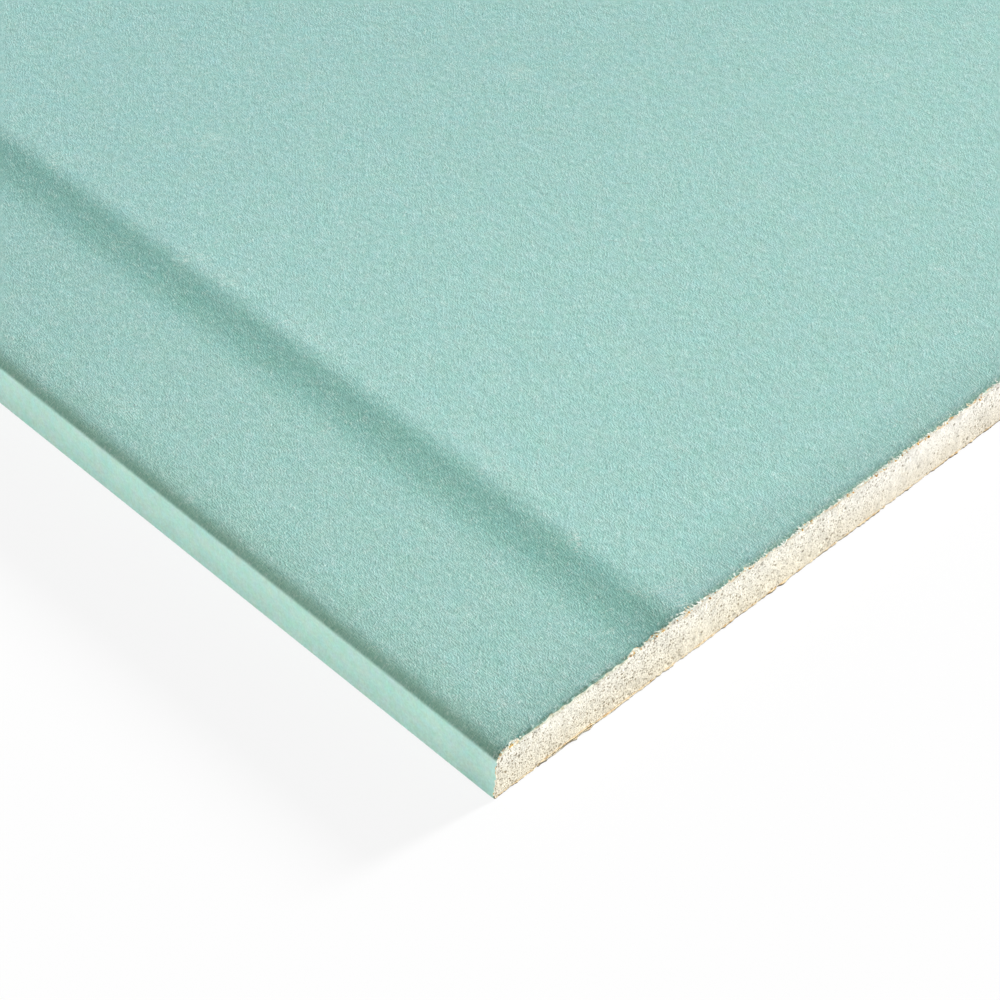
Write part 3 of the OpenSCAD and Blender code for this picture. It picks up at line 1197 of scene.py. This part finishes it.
# %% Fringe along the cut
FRINGE_DEPTHS, FRINGE_DROP = (-0.12, 0.20), 0.12
FRINGE_TURN, FRINGE_RISES, FRINGE_BEND = 1.3, (-0.2, 0.55), 0.25
INWARD_SHARE, INWARD, OUTWARD = 0.6, -1.0, 0.8
LENGTH_SHARES, RADIUS_SHARES = (0.4, 1.0), (0.5, 1.0)


def add_fringe(stock, x, side, finish, longest, thickest):
    """Short fibres that lie over the top edge of the cut."""
    count = len(x)
    depth = set_back(x) + rng.uniform(*FRINGE_DEPTHS, count)
    start = np.stack([x, side * (HALF_LENGTH - depth), top_of_cut(x) - FRINGE_DROP], -1)
    turn = rng.uniform(-FRINGE_TURN, FRINGE_TURN, count)
    out = np.where(rng.random(count) < INWARD_SHARE, INWARD, OUTWARD)
    way = np.stack([np.sin(turn), side * out * np.cos(turn), rng.uniform(*FRINGE_RISES, count)], -1)
    bend = rng.normal(scale=FRINGE_BEND, size=(count, 3))
    length = rng.uniform(*LENGTH_SHARES, count) * longest
    radius = rng.uniform(*RADIUS_SHARES, count) * thickest
    add_tubes(stock, start, way, bend, length, radius, finish)


# %% Lint that lies on the face
LINT_CLOSE, LINT_WIDE = 26, 260
CLOSE_ACROSS, CLOSE_ALONG = (8, 140), (2, 120)
WIDE_ACROSS, WIDE_ALONG = (60, 1140), (4, 2390)
LINT_LIFT, LINT_RISE, LINT_BEND = 0.02, 0.01, 0.5
LINT_LENGTHS, LINT_RADII = (0.8, 2.6), (0.025, 0.04)


def scattered(across, along_sheet, count):
    """Random places on the sheet, from its near left corner."""
    return np.stack([rng.uniform(*across, count), rng.uniform(*along_sheet, count)], -1)


def add_lint(stock, finish):
    """A few long pale fibres on the face, more of them by the near left corner."""
    close = scattered(CLOSE_ACROSS, CLOSE_ALONG, LINT_CLOSE)
    wide = scattered(WIDE_ACROSS, WIDE_ALONG, LINT_WIDE)
    place = np.concatenate([close, wide]) - [HALF_WIDTH, HALF_LENGTH]
    count = len(place)
    start = np.column_stack([place, top_of_cut(place[:, 0]) + LINT_LIFT])
    turn = rng.uniform(0, 2 * math.pi, count)
    way = np.stack([np.cos(turn), np.sin(turn), np.full(count, LINT_RISE)], -1)
    bend = rng.normal(scale=LINT_BEND, size=(count, 3)) * [1, 1, 0]
    length = rng.uniform(*LINT_LENGTHS, count)
    radius = rng.uniform(*LINT_RADII, count)
    add_tubes(stock, start, way, bend, length, radius, finish)


# %% Crumbs as octahedra
CRUMB_DEPTHS, CRUMB_DROPS = (0.0, 0.25), (0.15, 0.55)
CRUMB_SIZES, CRUMB_ROUGHNESS = (0.10, 0.32), 0.25


def add_crumbs(stock, x, side, finish):
    """Small broken lumps of ply that hang in the tears."""
    count = len(x)
    depth = set_back(x) - rng.uniform(*CRUMB_DEPTHS, count)
    below = rng.uniform(*CRUMB_DROPS, count)
    centre = np.stack([x, side * (HALF_LENGTH - depth), top_of_cut(x) - below], -1)
    size = rng.uniform(*CRUMB_SIZES, count)[:, None]
    points = []
    for axis in range(3):
        for sign in (-1, 1):
            out = rng.normal(scale=CRUMB_ROUGHNESS, size=(count, 3))
            out[:, axis] += sign
            points.append(centre + out * size)
    ids = stock.add(np.stack(points, 1))
    for a in (0, 1):
        for b in (2, 3):
            for c in (4, 5):
                stock.take(ids[:, [a, b, c]].tolist(), finish)


# %% All fibres and crumbs as one piece
PALE, CRUMB, LINT = range(3)
FIBRE_FINISHES = [plies["pale_paper_fibre"], plies["torn_ply_crumbs"], plies["pale_green_lint"]]
torn = Stock()
for side in (-1, 1):
    fuzz = fringe_places(side, 0.8, 0.08, on_face=0.45, in_recess=0.03)
    add_fringe(torn, fuzz, side, finish=PALE, longest=0.6, thickest=0.07)
    teeth = fringe_places(side, 1.6, 0.45, on_face=1.0, in_recess=0.0)
    add_fringe(torn, teeth, side, finish=PALE, longest=0.7, thickest=0.19)
    flakes = fringe_places(side, 6.0, 0.9, on_face=0.40, in_recess=0.0)
    add_crumbs(torn, flakes, side, finish=CRUMB)
add_lint(torn, finish=LINT)
make_piece("torn_fibres", torn, FIBRE_FINISHES)

# %% [markdown]
# ## Floor, light and camera
# The sheet lies on a white floor. A broad key light comes low over the face from the right, so the step
# and the shoulder of the edge turn dark. A softer one from the left lights the edge and the cut end.
# Suns light the whole sheet alike, which lamps close to the corner would not. Floor and backdrop are
# white where they are seen, straight or in a reflection, and add little light of their own. The camera
# looks down on the near left corner.

# %% Floor that stays white and keeps the shadow
FLOOR_SIZE = 30.0
FLOOR_DROP = 0.0001
FLOOR_WHITE = (0.9, 0.9, 0.9, 1.0)
WHITE = (1, 1, 1, 1)
SHADOW_SHARE = 0.12
signs = ((-1, -1), (1, -1), (1, 1), (-1, 1))
corners = [(x * FLOOR_SIZE, y * FLOOR_SIZE, -FLOOR_DROP) for x, y in signs]
floor_mesh = bpy.data.meshes.new("floor")
floor_mesh.from_pydata(corners, [], [(0, 1, 2, 3)])
floor = bpy.data.objects.new("floor", floor_mesh)
bpy.context.scene.collection.objects.link(floor)


def seen_directly(tree):
    """1 for a ray that shows the background, straight or in a reflection, and 0 for one that lights."""
    straight = tree.node("ShaderNodeLightPath", {}, {}, "Is Camera Ray")
    return straight + straight.other("Is Glossy Ray") + straight.other("Is Transmission Ray")


ground = Finish("white_floor", roughness=1.0)
ground.feed("Base Color", FLOOR_WHITE)
glow = ground.node("ShaderNodeEmission", {}, {"Color": WHITE, "Strength": 1.0})
plain_floor = Value(ground, ground.shader.outputs[0])
share = seen_directly(ground) * (1 - SHADOW_SHARE)
mixed = ground.node("ShaderNodeMixShader", {}, {0: share, 1: plain_floor, 2: glow})
ground.links.new(mixed.socket, ground.nodes["Material Output"].inputs["Surface"])
floor_mesh.materials.append(ground.material)


# %% Lamps
def sun(name, azimuth, elevation, strength, angle):
    """A far lamp. Azimuth turns from +X to +Y, and strength is what a face square to it gets."""
    lamp = bpy.data.lights.new(name, "SUN")
    lamp.energy = strength * math.pi
    lamp.angle = math.radians(angle)
    source = bpy.data.objects.new(name, lamp)
    a, e = math.radians(azimuth), math.radians(elevation)
    toward = Vector((math.cos(a) * math.cos(e), math.sin(a) * math.cos(e), math.sin(e)))
    source.rotation_mode = "QUATERNION"
    source.rotation_quaternion = toward.to_track_quat("Z", "Y")
    bpy.context.scene.collection.objects.link(source)
    print(f"{name}: strength {strength} from {azimuth}, {elevation}")


sun("key", azimuth=-9, elevation=17, strength=2.30, angle=10)
sun("front_fill", azimuth=190, elevation=10, strength=0.68, angle=30)
SKY = 0.22
world = bpy.data.worlds.new("studio")
studio = Tree(world)
backdrop = studio.nodes["Background"]
studio.fill(backdrop.inputs["Color"], WHITE)
studio.fill(backdrop.inputs["Strength"], SKY + seen_directly(studio) * (1 - SKY))
bpy.context.scene.world = world
bpy.context.scene.view_settings.view_transform = "Standard"

# %% Camera
CAMERA_FROM_CORNER = Vector((-213.03, -221.92, 372.19))
LOOK_AZIMUTH = 44.05
LOOK_DOWN = 44.109
SENSOR_WIDTH = 36.0
LENS = 97.66
CLIP_START = 0.01
camera_data = bpy.data.cameras.new("camera")
camera_data.sensor_width = SENSOR_WIDTH
camera_data.lens = LENS
camera = bpy.data.objects.new("camera", camera_data)
corner = Vector((-HALF_WIDTH, -HALF_LENGTH, 0))
camera.location = (corner + CAMERA_FROM_CORNER) * MM
a, e = math.radians(LOOK_AZIMUTH), math.radians(LOOK_DOWN)
look = Vector((math.sin(a) * math.cos(e), math.cos(a) * math.cos(e), -math.sin(e)))
camera.rotation_mode = "QUATERNION"
camera.rotation_quaternion = look.to_track_quat("-Z", "Y")
camera_data.clip_start = CLIP_START
bpy.context.scene.collection.objects.link(camera)
bpy.context.scene.camera = camera
print("camera at", [round(v, 3) for v in camera.location])
